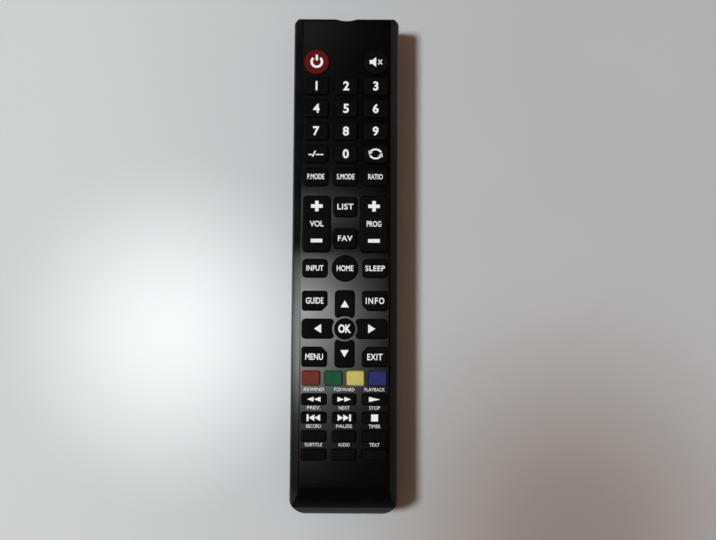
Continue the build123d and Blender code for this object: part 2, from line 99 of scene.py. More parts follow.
def mouldedFinish(name, look):
    # a moulded surface from three noises, each at 1 / size and with its middle stretched over a
    # range: a mottled colour, gloss that differs in wide patches, and a fine grain as bump
    finish, tree, place = startFinish(name)
    mottle = addNode(tree, "TexNoise", {
        "Vector": place, "Scale": 1 / (look["mottleSize"] * mm), "Detail": 3.0})
    share = addNode(tree, "MapRange", {**noiseMiddle, "Value": mottle.outputs["Fac"]})
    colour = addNode(tree, "Mix", {
        0: share.outputs["Result"], 6: linearColour(look["colour"]),
        7: linearColour(look["mottle"])}, data_type="RGBA").outputs[2]
    patches = addNode(tree, "TexNoise", {
        "Vector": place, "Scale": 1 / (look["patchSize"] * mm), "Detail": 5.0})
    shiny, dull = look["roughness"]
    roughness = addNode(tree, "MapRange", {
        **noiseMiddle, "Value": patches.outputs["Fac"],
        "To Min": shiny, "To Max": dull}).outputs["Result"]
    grain = addNode(tree, "TexNoise", {
        "Vector": place, "Scale": 1 / (look["grainSize"] * mm), "Detail": 2.0})
    normal = addNode(tree, "Bump", {
        "Height": grain.outputs["Fac"], "Distance": look["grainDepth"] * mm}).outputs["Normal"]
    if "seam" in look:
        # where two mouldings meet: a dull V groove, open in proportion to nearness to one height
        height = addNode(tree, "SeparateXYZ", {"Vector": place}).outputs["Z"]
        above = addNode(tree, "Math", {0: height, 1: look["seam"] * mm}, operation="SUBTRACT")
        away = addNode(tree, "Math", {0: above.outputs[0]}, operation="ABSOLUTE")
        flat = addNode(tree, "MapRange", {
            "Value": away.outputs[0], "From Max": look["seamWidth"] / 2 * mm})
        normal = addNode(tree, "Bump", {
            "Height": flat.outputs["Result"], "Distance": look["seamWidth"] * mm,
            "Normal": normal}).outputs["Normal"]
        roughness = addNode(tree, "Mix", {
            0: flat.outputs["Result"], 2: look["seamDull"], 3: roughness}).outputs[0]
    shader = addNode(tree, "BsdfPrincipled", {
        "Base Color": colour, "Roughness": roughness, "IOR": look["ior"],
        "Specular IOR Level": look.get("specular", 0.5), "Normal": normal})
    addNode(tree, "OutputMaterial", {"Surface": shader.outputs["BSDF"]})
    return finish


# Case: ABS moulded in a polished tool. Wet-looking black, so the eye sees what it mirrors, a
# little uneven where fingers have been.
caseLook = {
    "colour": "#040405", "mottle": "#060607", "mottleSize": 7.0,
    "roughness": (0.05, 0.11), "patchSize": 16.0,  # as wide as a finger mark
    "grainSize": 2.2, "grainDepth": 0.0016,  # the flow of the plastic, never quite flat
    "ior": 1.53, "seam": 11.0, "seamWidth": 0.24, "seamDull": 0.8,
}
# Keys: silicone rubber moulded in a spark-eroded tool. Black and almost without shine, and the
# five coloured ones even and chalky. The tool's grain is about 0.05 mm, drawn coarser so that it
# shows.
keyLook = {
    "mottleSize": 3.0, "roughness": (0.55, 0.7), "patchSize": 9.0,  # shinier where a thumb lands
    "grainSize": 0.35, "grainDepth": 0.016,
    "ior": 1.41, "specular": 0.12,  # the grain traps most of the shine
}
keyColours = {  # record slot: finish, colour and mottle
    "rubber_black": ("blackSilicone", "#070708", "#0b0b0c"),
    "rubber_power_red": ("deepRedSilicone", "#4f100f", "#5c1614"),
    "rubber_red": ("brickRedSilicone", "#652a25", "#70332d"),
    "rubber_green": ("greenSilicone", "#1c4832", "#24523b"),
    "rubber_yellow": ("yellowSilicone", "#b7aa5b", "#c1b467"),
    "rubber_blue": ("blueSilicone", "#262a5a", "#2e3264"),
}
caseFinish = mouldedFinish("polishedMouldedAbs", caseLook)
keyFinishes = {slot: mouldedFinish(name, {**keyLook, "colour": colour, "mottle": mottle})
               for slot, (name, colour, mottle) in keyColours.items()}
# Epoxy ink laid through a screen: dense white with the mesh's faint unevenness, 0.12 mm apart
printFinish = mouldedFinish("screenPrintedInk", {
    "colour": "#efeeea", "mottle": "#e3e2dd", "mottleSize": 0.7, "roughness": (0.4, 0.55),
    "patchSize": 3.0, "grainSize": 0.12, "grainDepth": 0.004, "ior": 1.5,
})
# Polycarbonate dyed to pass infrared only: black with a hint of violet, the smoothest surface here
windowFinish = mouldedFinish("dyedPolycarbonate", {
    "colour": "#17060f", "mottle": "#1c0812", "mottleSize": 4.0, "roughness": (0.03, 0.07),
    "patchSize": 9.0, "grainSize": 3.0, "grainDepth": 0.0006, "ior": 1.58,
})
# The sheet under the keys, silicone left grey: matt, a little milky. Its grain is drawn coarser too
matFinish = mouldedFinish("greyMouldedSilicone", {
    "colour": "#8b8d90", "mottle": "#96989a", "mottleSize": 5.0, "roughness": (0.5, 0.65),
    "patchSize": 12.0, "grainSize": 0.35, "grainDepth": 0.016, "ior": 1.41,
})
# Pressed paper laminate under green solder lacquer: half gloss, the paper's fibres just showing
boardFinish = mouldedFinish("lacqueredPaperLaminate", {
    "colour": "#1f4a2a", "mottle": "#2c5c33", "mottleSize": 1.2, "roughness": (0.25, 0.4),
    "patchSize": 6.0, "grainSize": 0.5, "grainDepth": 0.01, "ior": 1.5,
})
# Filled epoxy moulded in a blasted tool: dull charcoal. Its grain, about 0.03 mm, is drawn coarser
chipFinish = mouldedFinish("blastedMouldedEpoxy", {
    "colour": "#161617", "mottle": "#1d1d1e", "mottleSize": 1.5, "roughness": (0.55, 0.7),
    "patchSize": 4.0, "grainSize": 0.2, "grainDepth": 0.008, "ior": 1.55,
})
# Vinyl shrunk on by heat: navy and half gloss, faintly wrinkled
sleeveFinish = mouldedFinish("shrunkVinylSleeve", {
    "colour": "#14163a", "mottle": "#1b1e46", "mottleSize": 2.0, "roughness": (0.25, 0.4),
    "patchSize": 4.0, "grainSize": 0.4, "grainDepth": 0.004, "ior": 1.5,
})
# Clear epoxy cast round the emitter: bluish, with a glassy skin
lampFinish = mouldedFinish("castBluishEpoxy", {
    "colour": "#5b6588", "mottle": "#66709a", "mottleSize": 3.0, "roughness": (0.04, 0.08),
    "patchSize": 3.0, "grainSize": 1.0, "grainDepth": 0.001, "ior": 1.55,
})
print("moulded finishes done, for the keys:", len(keyFinishes))


# Mesh helpers
def makePiece(name, mesh, finishes, body):
    piece = bpy.data.objects.new(name, mesh)
    scene.collection.objects.link(piece)
    for finish in finishes:
        mesh.materials.append(finish)
    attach(piece, body)
    return piece


def closeMesh(mesh, reach=0.001, turnOut=True):
    # points within reach of each other become one, and every face is turned to look outwards
    shape = bmesh.new()
    shape.from_mesh(mesh)
    bmesh.ops.remove_doubles(shape, verts=shape.verts, dist=reach * mm)
    if turnOut:
        bmesh.ops.recalc_face_normals(shape, faces=shape.faces)
    shape.to_mesh(mesh)
    shape.free()


def gridMesh(name, grids, sharpAngle=40.0, finishIndex=None):
    # grids of points, row by row and each row a closed ring: four neighbours make a face, the
    # last column joins the first, and a row drawn to one point is a pole
    points, quads, marks, start = [], [], [], 0
    for index, grid in enumerate(grids):
        rows, columns = grid.shape[:2]
        row, column = np.meshgrid(np.arange(rows - 1), np.arange(columns), indexing="ij")
        beside = (column + 1) % columns
        corners = (row * columns + column, row * columns + beside,
                   (row + 1) * columns + beside, (row + 1) * columns + column)
        quads.append(start + np.stack(corners, axis=-1).reshape(-1, 4))
        marks.append(np.repeat(finishIndex[index] if finishIndex else [0] * (rows - 1), columns))
        points.append(grid.reshape(-1, 3))
        start += rows * columns
    mesh = bpy.data.meshes.new(name)
    mesh.from_pydata(np.concatenate(points) * mm, [], np.concatenate(quads).tolist())
    mesh.polygons.foreach_set("material_index", np.concatenate(marks).astype(np.int32))
    closeMesh(mesh)
    mesh.polygons.foreach_set("use_smooth", np.ones(len(mesh.polygons), bool))
    mesh.set_sharp_from_angle(angle=math.radians(sharpAngle))
    return mesh


softLook = {
    "sharpAngle": 20.0,  # degrees: neighbours that turn more than this keep a sharp edge
    # faces share a plane if these agree, rounded: the normal in 1 / 200 and the distance from
    # the origin in 1 / 20 mm
    "normalSteps": 200, "distanceSteps": 20,
}


def cornerNormals(mesh):
    # the normal at a face's corner is the mean of the normals of the faces round that vertex that
    # turn less than sharpAngle from it, each weighed by the area of the whole plane that it lies
    # in. So flats stay flat, and a rounding runs on evenly beside them.
    faces, corners = len(mesh.polygons), len(mesh.loops)
    vertexOf, sizes = np.zeros(corners, np.int32), np.zeros(faces, np.int32)
    facing, centres = np.zeros(faces * 3, np.float32), np.zeros(faces * 3, np.float32)
    areas = np.zeros(faces, np.float32)
    mesh.loops.foreach_get("vertex_index", vertexOf)
    mesh.polygons.foreach_get("loop_total", sizes)
    mesh.polygons.foreach_get("normal", facing)
    mesh.polygons.foreach_get("center", centres)
    mesh.polygons.foreach_get("area", areas)
    facing, centres = facing.reshape(-1, 3), centres.reshape(-1, 3)
    distances = (facing * centres).sum(axis=1) / mm
    planes = np.round(np.column_stack((facing * softLook["normalSteps"],
                                       distances * softLook["distanceSteps"])))
    plane = np.unique(planes, axis=0, return_inverse=True)[1].ravel()
    normals = np.repeat(facing, sizes, axis=0)
    weights = np.repeat(np.bincount(plane, weights=areas)[plane], sizes)
    # every pair of corners that share a vertex: corners sorted by vertex, each set against the
    # whole of its group
    order = np.argsort(vertexOf, kind="stable")
    groups = np.bincount(vertexOf)
    groups = groups[groups > 0]
    groupSize = np.repeat(groups, groups)
    groupStart = np.repeat(np.cumsum(groups) - groups, groups)
    pairStart = np.repeat(np.cumsum(groupSize) - groupSize, groupSize)
    own = order[np.repeat(np.arange(corners), groupSize)]
    other = order[np.repeat(groupStart, groupSize) + np.arange(len(own)) - pairStart]
    likeness = np.einsum("ij,ij->i", normals[own], normals[other])
    near = likeness > math.cos(math.radians(softLook["sharpAngle"]))
    mean = np.zeros((corners, 3))
    np.add.at(mean, own[near], normals[other[near]] * weights[other[near], None])
    return mean / np.maximum(np.linalg.norm(mean, axis=1), 1e-12)[:, None]


def softenedCopy(node, name, body, finish):
    # a merged copy of a CAD node, with even reflections over its curves
    mesh = frame["nodes"][node].data.copy()
    mesh.name = name
    mesh.materials.clear()
    closeMesh(mesh, turnOut=False)
    normals = cornerNormals(mesh)
    mesh.polygons.foreach_set("use_smooth", np.ones(len(mesh.polygons), bool))
    mesh.normals_split_custom_set(normals.tolist())
    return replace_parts(makePiece(name, mesh, [finish], body), node)


# Housing
for node, name, body in (
    ("top_case", "face_moulding", "handset"),
    ("bottom_case", "back_moulding", "handset"),
    ("battery_cover", "battery_door", "battery_cover"),
):
    softenedCopy(node, name, body, caseFinish)
softenedCopy("ir_window", "window_pane", "handset", windowFinish)
print("housing done")


# Nodes inside that keep their CAD shape
def dress(node, finish):
    for materialSlot in frame["nodes"][node].material_slots:
        materialSlot.link = "OBJECT"
        materialSlot.material = finish


dress("keypad_mat", matFinish)
dress("circuit_board", boardFinish)
dress("control_chip", chipFinish)
dress("board_components", sleeveFinish)
dress("ir_led", lampFinish)
print("inner nodes dressed")


# Battery contacts: spring steel plated with nickel, rolled and bent. Satin silver with fine lines
# along the strip, 0.15 mm apart and a few millimetres long
contactLook = {
    "bright": "#c9c7c2", "dull": "#a9a7a1", "roughness": (0.18, 0.36),
    "lineWidth": 0.15, "lineLength": 6.0,
}
contactFinish, tree, place = startFinish("nickelPlatedSpringSteel")
across, along = 1 / contactLook["lineWidth"], 1 / contactLook["lineLength"]
stretched = addNode(tree, "Mapping", {"Vector": place, "Scale": (across, across, along)})
lines = addNode(tree, "TexNoise", {
    "Vector": stretched.outputs["Vector"], "Scale": 1 / mm, "Detail": 2.0})
share = addNode(tree, "MapRange", {**noiseMiddle, "Value": lines.outputs["Fac"]})
colour = addNode(tree, "Mix", {
    0: share.outputs["Result"], 6: linearColour(contactLook["dull"]),
    7: linearColour(contactLook["bright"])}, data_type="RGBA")
roughness = addNode(tree, "MapRange", {
    "Value": share.outputs["Result"], "To Min": contactLook["roughness"][0],
    "To Max": contactLook["roughness"][1]})
shader = addNode(tree, "BsdfPrincipled", {
    "Base Color": colour.outputs[2], "Metallic": 1.0, "Roughness": roughness.outputs["Result"]})
addNode(tree, "OutputMaterial", {"Surface": shader.outputs["BSDF"]})
dress("battery_contacts", contactFinish)


# Two cells: each a profile of radius against length, turned about the cell's axis
cellLook = {
    "height": 7.25, "offset": 5.55, "sleeveLength": 43.5,
    "leftFront": -51.6, "rightFront": -49.5,  # front end of each sleeve
    "sleeve": "#23262b", "ring": "#c9c9c4", "band": "#a8733a",
    "ringStart": 29.9, "bandStart": 31.1,  # from the flat minus end
    "fade": 0.1,  # half the width over which one colour turns to the next
    "roughness": (0.22, 0.34), "patchSize": 5.0, "coat": 0.5, "coatRoughness": 0.1,
    "turnSteps": 64, "sharpAngle": 30.0,
}
cellProfile = np.array([  # distance from the flat minus end, and radius
    (0.0, 0.0), (0.0, 3.6), (0.12, 3.8), (0.12, 4.35), (0.0, 4.5), (0.05, 5.0), (0.4, 5.2),
    (1.2, 5.25), (42.3, 5.25), (43.1, 5.2), (43.45, 4.95), (43.5, 4.5), (43.35, 4.3),
    (43.35, 2.5), (43.5, 2.1), (43.6, 1.9), (44.3, 1.9), (44.45, 1.75), (44.5, 1.5), (44.5, 0.0),
])
cellRows = [1] * 5 + [0] * 6 + [1] * 8  # metal end, sleeve, metal end


def cellGrid(x, minusEnd, way):
    # turned work: at each row the point is (x + radius times the cosine of the turn, the place
    # along Y, height + radius times its sine)
    turn = np.linspace(0, 2 * math.pi, cellLook["turnSteps"], endpoint=False)
    along = np.repeat((minusEnd + way * cellProfile[:, 0])[:, None], len(turn), axis=1)
    ring = cellProfile[:, 1][:, None]
    return np.stack((x + ring * np.cos(turn), along, cellLook["height"] + ring * np.sin(turn)),
                    axis=-1)


def cellFinish():
    # printed film shrunk over steel: charcoal, a pale ring, then copper colour to the plus end,
    # all under a clear gloss. The place along is measured from each cell's own minus end.
    finish, tree, place = startFinish("printedShrinkFilm")
    parts = addNode(tree, "SeparateXYZ", {"Vector": place})
    isRight = addNode(tree, "Math", {0: parts.outputs["X"], 1: 0.0}, operation="GREATER_THAN")
    rightTail = (cellLook["rightFront"] - cellLook["sleeveLength"]) * mm
    fromTail = addNode(tree, "Math", {0: parts.outputs["Y"], 1: rightTail}, operation="SUBTRACT")
    fromFront = addNode(tree, "Math", {0: cellLook["leftFront"] * mm, 1: parts.outputs["Y"]},
                        operation="SUBTRACT")
    along = addNode(tree, "Mix", {
        0: isRight.outputs[0], 2: fromFront.outputs[0], 3: fromTail.outputs[0]})
    colour = linearColour(cellLook["sleeve"])
    for shade, start in ((cellLook["ring"], cellLook["ringStart"]),
                         (cellLook["band"], cellLook["bandStart"])):
        share = addNode(tree, "MapRange", {
            "Value": along.outputs[0], "From Min": (start - cellLook["fade"]) * mm,
            "From Max": (start + cellLook["fade"]) * mm})
        colour = addNode(tree, "Mix", {
            0: share.outputs["Result"], 6: colour, 7: linearColour(shade)},
            data_type="RGBA").outputs[2]
    patches = addNode(tree, "TexNoise", {
        "Vector": place, "Scale": 1 / (cellLook["patchSize"] * mm), "Detail": 3.0})
    shiny, dull = cellLook["roughness"]
    roughness = addNode(tree, "MapRange", {
        **noiseMiddle, "Value": patches.outputs["Fac"], "To Min": shiny, "To Max": dull})
    shader = addNode(tree, "BsdfPrincipled", {
        "Base Color": colour, "Roughness": roughness.outputs["Result"],
        "Coat Weight": cellLook["coat"], "Coat Roughness": cellLook["coatRoughness"]})
    addNode(tree, "OutputMaterial", {"Surface": shader.outputs["BSDF"]})
    return finish


cellGrids = [
    cellGrid(-cellLook["offset"], cellLook["leftFront"], -1),
    cellGrid(cellLook["offset"], cellLook["rightFront"] - cellLook["sleeveLength"], 1),
]
cellMesh = gridMesh("cell_pair", cellGrids, cellLook["sharpAngle"], [cellRows, cellRows])
cells = makePiece("cell_pair", cellMesh, [cellFinish(), contactFinish], "handset")
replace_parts(cells, "battery_cells")
print("cells done")


# Key caps
capLook = {
    "edge": 0.7,  # how far in the top edge's rounding reaches
    "drop": 0.55,  # how far down it reaches
    "edgeRings": 7, "topRings": (0.66, 0.33, 0.0),  # the last ones as shares of the flat top
    "corner": 1.3, "smallCorner": 0.7,
    "cutCorner": 2.4, "cutCornerRadius": 0.95,
    "padArc": 5.4, "padCorner": 0.8,  # the arrow keys' inner ends, round the middle of the pad
    "flangeReach": 0.4, "flangeLimit": 17.75, "flangeTop": 18.3, "flangeBottom": 17.1,
    "plungerRadius": 1.7, "rockerContact": 7.5, "stemOverlap": 0.5,
    "pinRadius": 0.9, "pinHeight": 17.4, "pinReach": 0.4,
    "roundSteps": 96, "pinSteps": 32,
    "clearance": 0.5,  # what of a key is this far over the face is its cap
    "sink": 0.02,  # the cap's top under the CAD key's, so that the print stays in the same box
}
arrowTurns = {"right_key": 0, "up_key": 90, "left_key": 180, "down_key": 270}
roundKeys = ("power_key", "mute_key", "home_key", "ok_key")
cornerKeys = {"info_key": (1, 1), "guide_key": (-1, 1), "menu_key": (-1, -1), "exit_key": (1, -1)}
smallKeys = ("rewind_key", "forward_key", "play_key", "previous_key", "next_key", "stop_key",
             "record_key", "pause_key", "timer_key", "subtitle_key", "audio_key", "text_key",
             "red_key", "green_key", "yellow_key", "blue_key")
keyNodes = sorted(node for node in frame["nodes"] if node.endswith(("_key", "_rocker")))
keySlots = {row["node"]: row["material_slot"] for row in frame["record"]["subparts"]}
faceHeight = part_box("top_case")[1].z / mm


def capBox(node):
    # middle, half size and top of the part of a key above the face, from its own vertices
    mesh = frame["nodes"][node].data
    places = np.zeros(len(mesh.vertices) * 3, np.float32)
    mesh.vertices.foreach_get("co", places)
    places = places.reshape(-1, 3) / mm
    above = places[places[:, 2] > faceHeight + capLook["clearance"]]
    low, high = above.min(axis=0), above.max(axis=0)
    return (low + high) / 2, (high - low) / 2, high[2]


def roundedLoop(corners, radii, arcSteps=6, sideSteps=3):
    # an anticlockwise outline: at each corner an arc tangent to both sides, then a divided side.
    # Gives the points and, at each, the unit normal that looks outwards.
    corners, radii = np.array(corners, float), np.array(radii, float)[:, None]
    comingIn = corners - np.roll(corners, 1, axis=0)
    comingIn /= np.linalg.norm(comingIn, axis=1)[:, None]
    goingOut = np.roll(comingIn, -1, axis=0)
    bend = np.arctan2(comingIn[:, 0] * goingOut[:, 1] - comingIn[:, 1] * goingOut[:, 0],
                      (comingIn * goingOut).sum(axis=1))[:, None]
    outIn = np.stack((comingIn[:, 1], -comingIn[:, 0]), axis=1)
    centres = corners - comingIn * radii * np.tan(bend / 2) - outIn * radii
    angle = (np.arctan2(outIn[:, 1], outIn[:, 0])[:, None]
             + bend * np.linspace(0, 1, arcSteps + 1))
    arcNormals = np.stack((np.cos(angle), np.sin(angle)), axis=-1)
    arcs = centres[:, None] + radii[:, None] * arcNormals
    share = np.linspace(0, 1, sideSteps + 1)[1:-1, None]
    ends, nexts = arcs[:, -1], np.roll(arcs[:, 0], -1, axis=0)
    sides = ends[:, None] * (1 - share) + nexts[:, None] * share
    sideNormals = np.repeat(arcNormals[:, -1:], sides.shape[1], axis=1)
    points = np.concatenate((arcs, sides), axis=1).reshape(-1, 2)
    return points, np.concatenate((arcNormals, sideNormals), axis=1).reshape(-1, 2)


def boxCorners(halfX, halfY):
    return [(-halfX, -halfY), (halfX, -halfY), (halfX, halfY), (-halfX, halfY)]


def turned(points, degrees):
    # each point turned anticlockwise about the origin
    angle = math.radians(degrees)
    spin = np.array([[math.cos(angle), math.sin(angle)], [-math.sin(angle), math.cos(angle)]])
    return points @ spin


def keyOutline(node, middle, half):
    # the cap's outline about its middle, with its outward normals
    if node in roundKeys:
        angle = np.linspace(0, 2 * math.pi, capLook["roundSteps"], endpoint=False)
        normals = np.stack((np.cos(angle), np.sin(angle)), axis=-1)
        return normals * half[0], normals
    if node in arrowTurns:
        # drawn as the right arrow, its inner end cut by the arc round the pad, then turned
        turn, arcRadius = arrowTurns[node], capLook["padArc"]
        halfX, halfY = (half[1], half[0]) if turn % 180 == 90 else (half[0], half[1])
        radii = (capLook["padCorner"], capLook["corner"], capLook["corner"], capLook["padCorner"])
        points, normals = roundedLoop(boxCorners(halfX, halfY), radii, sideSteps=12)
        padMiddle = turned(np.array([middle[:2] - padCentre]) * -1, -turn)[0]
        fromPad = points - padMiddle
        distance = np.linalg.norm(fromPad, axis=1)[:, None]
        inside = distance < arcRadius
        points = np.where(inside, padMiddle + fromPad / distance * arcRadius, points)
        normals = np.where(inside, -fromPad / distance, normals)
        return turned(points, turn), turned(normals, turn)
    if node in cornerKeys:
        cut, (sideX, sideY) = capLook["cutCorner"], cornerKeys[node]
        corners = np.array([(-half[0] + cut, -half[1]), (half[0], -half[1]), (half[0], half[1]),
                            (-half[0], half[1]), (-half[0], -half[1] + cut)]) * (sideX, sideY)
        return roundedLoop(corners[::sideX * sideY], [capLook["cutCornerRadius"]] * 5)
    radius = capLook["smallCorner"] if node in smallKeys else capLook["corner"]
    return roundedLoop(boxCorners(half[0], half[1]), [radius] * 4)


def capGrids(node):
    # rings of the outline: plunger, flange, wall, a quarter-ellipse edge and a flat top to the
    # middle. A rocker has no flange, but a pin across it and a stem under each end.
    middle, half, top = capBox(node)
    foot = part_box(node)[0].z / mm
    points, normals = keyOutline(node, middle, half)
    rocker = node.endswith("_rocker")
    stemRadius = capLook["plungerRadius"]

    def ring(inset, height, share=1.0):
        flat = (points - normals * inset) * share + middle[:2]
        flat[:, 0] = np.clip(flat[:, 0], -capLook["flangeLimit"], capLook["flangeLimit"])
        return np.column_stack((flat, np.full(len(flat), height)))

    def disc(radius, height):
        directions = points / np.linalg.norm(points, axis=1)[:, None]
        return np.column_stack((directions * radius + middle[:2], np.full(len(points), height)))

    top -= capLook["sink"]
    low, high = capLook["flangeBottom"], capLook["flangeTop"]
    if rocker:
        rings = [disc(0, low), ring(0, low)]
    else:
        reach = capLook["flangeReach"]
        rings = [disc(0, foot), disc(stemRadius, foot), disc(stemRadius, low),
                 ring(-reach, low), ring(-reach, high), ring(0, high)]
    for angle in np.linspace(0, math.pi / 2, capLook["edgeRings"]):
        rings.append(ring(capLook["edge"] * (1 - math.cos(angle)),
                          top - capLook["drop"] * (1 - math.sin(angle))))
    rings += [ring(capLook["edge"], top, share) for share in capLook["topRings"]]
    grids = [np.array(rings)]
    if rocker:
        steps = capLook["pinSteps"]
        circle = np.linspace(0, 2 * math.pi, steps, endpoint=False)
        cosines, sines = np.cos(circle), np.sin(circle)
        reach = half[0] + capLook["pinReach"]
        pin = [(-reach, 0), (-reach, 1), (reach, 1), (reach, 0)]
        grids.append(np.array([np.column_stack((
            np.full(steps, middle[0] + x),
            middle[1] + capLook["pinRadius"] * size * cosines,
            capLook["pinHeight"] + capLook["pinRadius"] * size * sines)) for x, size in pin]))
        stemTop = low + capLook["stemOverlap"]
        stem = [(foot, 0), (foot, 1), (stemTop, 1), (stemTop, 0)]
        for side in (-1, 1):
            grids.append(np.array([np.column_stack((
                middle[0] + stemRadius * size * cosines,
                middle[1] + side * capLook["rockerContact"] + stemRadius * size * sines,
                np.full(steps, height))) for height, size in stem]))
    return grids, middle, top


padCentre = capBox("ok_key")[0][:2]
capTops = {}
for node in keyNodes:
    grids, middle, top = capGrids(node)
    name = node.replace("_key", "_cap").replace("_rocker", "_rocker_cap")
    slotName = keySlots[node]
    cap = makePiece(name, gridMesh(name, grids), [keyFinishes[slotName]], node)
    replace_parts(cap, node)
    capTops[node] = (middle[0], middle[1], top)
print("caps:", len(capTops))


# White print
printLook = {
    "above": 0.012, "below": 0.03,  # how far the ink stands over the surface, and sinks into it
    "merge": 0.01,  # points of a letter this close are one
    "digitHeight": 3.9, "wordHeight": 2.3, "navigationHeight": 2.6,  # of a capital
    "digitWeight": 0.03,
}


def prism(outline):
    # a flat outline given a thickness from 0 to 1: its points twice, a face below, one above and
    # one for each side. Gives the points, the faces' corners in one row, and the corners of each.
    count = len(outline)
    ring = np.arange(count)
    beside = np.roll(ring, -1)
    points = np.column_stack((np.tile(outline, (2, 1)), np.repeat((0.0, 1.0), count)))
    sides = np.stack((ring, beside, beside + count, ring + count), axis=-1)
    corners = np.concatenate((ring[::-1], ring + count, sides.ravel()))
    return points, corners, np.repeat((count, 4), (2, count))


def stroke(line, width):
    # a line drawn with an even width: moved half a width to one side, then back on the other
    line = np.array(line, float)
    along = np.gradient(line, axis=0)
    along /= np.linalg.norm(along, axis=1)[:, None]
    across = np.stack((-along[:, 1], along[:, 0]), axis=1) * width / 2
    return np.concatenate((line - across, (line + across)[::-1]))


def arc(radius, start, end, steps=24):
    # radius times the cosine and sine of even steps of angle
    angle = np.radians(np.linspace(start, end, steps))
    return np.stack((radius * np.cos(angle), radius * np.sin(angle)), axis=1)


def wordShape(text, height, width=None, spacing=1.0, weight=0.02):
    # letters of the built-in face made a mesh, from 0 to 1 thick, centred, and scaled to a
    # capital height and, where given, to a width. Gives what prism gives.
    letters = bpy.data.curves.new("letters", "FONT")
    letters.body, letters.space_character = text, spacing
    letters.extrude, letters.resolution_u = 0.5, 4
    letters.bevel_depth, letters.bevel_resolution = weight, 0  # a rim that widens every stroke
    holder = bpy.data.objects.new("letters", letters)
    scene.collection.objects.link(holder)
    bpy.context.view_layer.update()
    solved = holder.evaluated_get(bpy.context.evaluated_depsgraph_get())
    mesh = bpy.data.meshes.new_from_object(solved)
    points = np.zeros(len(mesh.vertices) * 3, np.float32)
    corners, counts = np.zeros(len(mesh.loops), np.int32), np.zeros(len(mesh.polygons), np.int32)
    mesh.vertices.foreach_get("co", points)
    mesh.loops.foreach_get("vertex_index", corners)
    mesh.polygons.foreach_get("loop_total", counts)
    bpy.data.meshes.remove(mesh)
    bpy.data.curves.remove(letters)  # its object goes with it
    points = points.reshape(-1, 3).astype(float)
    low, high = points.min(axis=0), points.max(axis=0)
    scaleY = height / (high[1] - low[1])
    scaleX = scaleY if width is None else width / (high[0] - low[0])
    points = (points - (low + high) / 2) * (scaleX, scaleY, 1) + (0, 0, 0.5)
    return points, corners, counts


def printOn(name, body, origin, shapes):
    # ink on a surface: the shapes moved to origin, what is over half their thickness raised over
    # it and the rest sunk into it
    parts = [shape if isinstance(shape, tuple) else prism(shape) for shape in shapes]
    starts = np.cumsum([0] + [len(part[0]) for part in parts])
    points = np.concatenate([part[0] for part in parts])
    corners = np.concatenate([part[1] + start for part, start in zip(parts, starts)])
    counts = np.concatenate([part[2] for part in parts])
    height = np.where(points[:, 2] > 0.5, printLook["above"], -printLook["below"])
    points = np.column_stack((points[:, :2], height)) + origin
    mesh = bpy.data.meshes.new(name)
    mesh.vertices.add(len(points))
    mesh.loops.add(len(corners))
    mesh.polygons.add(len(counts))
    mesh.vertices.foreach_set("co", (points * mm).ravel())
    mesh.loops.foreach_set("vertex_index", corners.astype(np.int32))
    mesh.polygons.foreach_set("loop_start", (np.cumsum(counts) - counts).astype(np.int32))
    mesh.update(calc_edges=True)
    mesh.shade_flat()
    closeMesh(mesh, printLook["merge"])
    return makePiece(name, mesh, [printFinish], body)


def triangle(size, width, direction=0, shift=0.0):
    # a solid arrow head: size along its way, width across it
    head = np.array([(-size / 2, -width / 2), (size / 2, 0), (-size / 2, width / 2)])
    return turned(head + (shift, 0), direction)


def bar(width, height, x=0.0, y=0.0):
    return np.array(boxCorners(width / 2, height / 2)) + (x, y)


def moved(shape, x=0.0, y=0.0):
    # an outline, or a word's points, shifted
    return (shape[0] + (x, y, 0), *shape[1:]) if isinstance(shape, tuple) else shape + (x, y)


powerSign = [stroke(arc(2.15, 132, 408, 40), 1.0), bar(0.95, 2.5, 0, 1.75)]
muteSign = [
    np.array([(-2.6, -0.8), (-1.5, -0.8), (0.1, -2.1), (0.1, 2.1), (-1.5, 0.8), (-2.6, 0.8)]),
    stroke([(1.0, -1.0), (1.8, 0.0), (2.6, 1.0)], 0.5),
    stroke([(1.0, 1.0), (1.8, 0.0), (2.6, -1.0)], 0.5),
]
recallSign = [
    stroke(arc(1.9, 20, 160), 0.7) * (1.25, 1.0), stroke(arc(1.9, 200, 340), 0.7) * (1.25, 1.0),
    moved(triangle(1.7, 2.0, 250), -2.35, 0.3), moved(triangle(1.7, 2.0, 70), 2.35, -0.3),
]
thin, wide, tall = 0.74, 2.4, 2.2  # half the stroke, half the width and half the height
plusArm = np.array([(thin, -tall), (thin, -thin), (wide, -thin), (wide, thin), (thin, thin),
                    (thin, tall)])
plusSign = np.concatenate((plusArm, -plusArm))
minusSign = bar(4.8, 1.5)
rockerPlus, rockerMinus = moved(plusSign, 0, 7.3), moved(minusSign, 0, -7.0)
wordHeight, navigationHeight = printLook["wordHeight"], printLook["navigationHeight"]

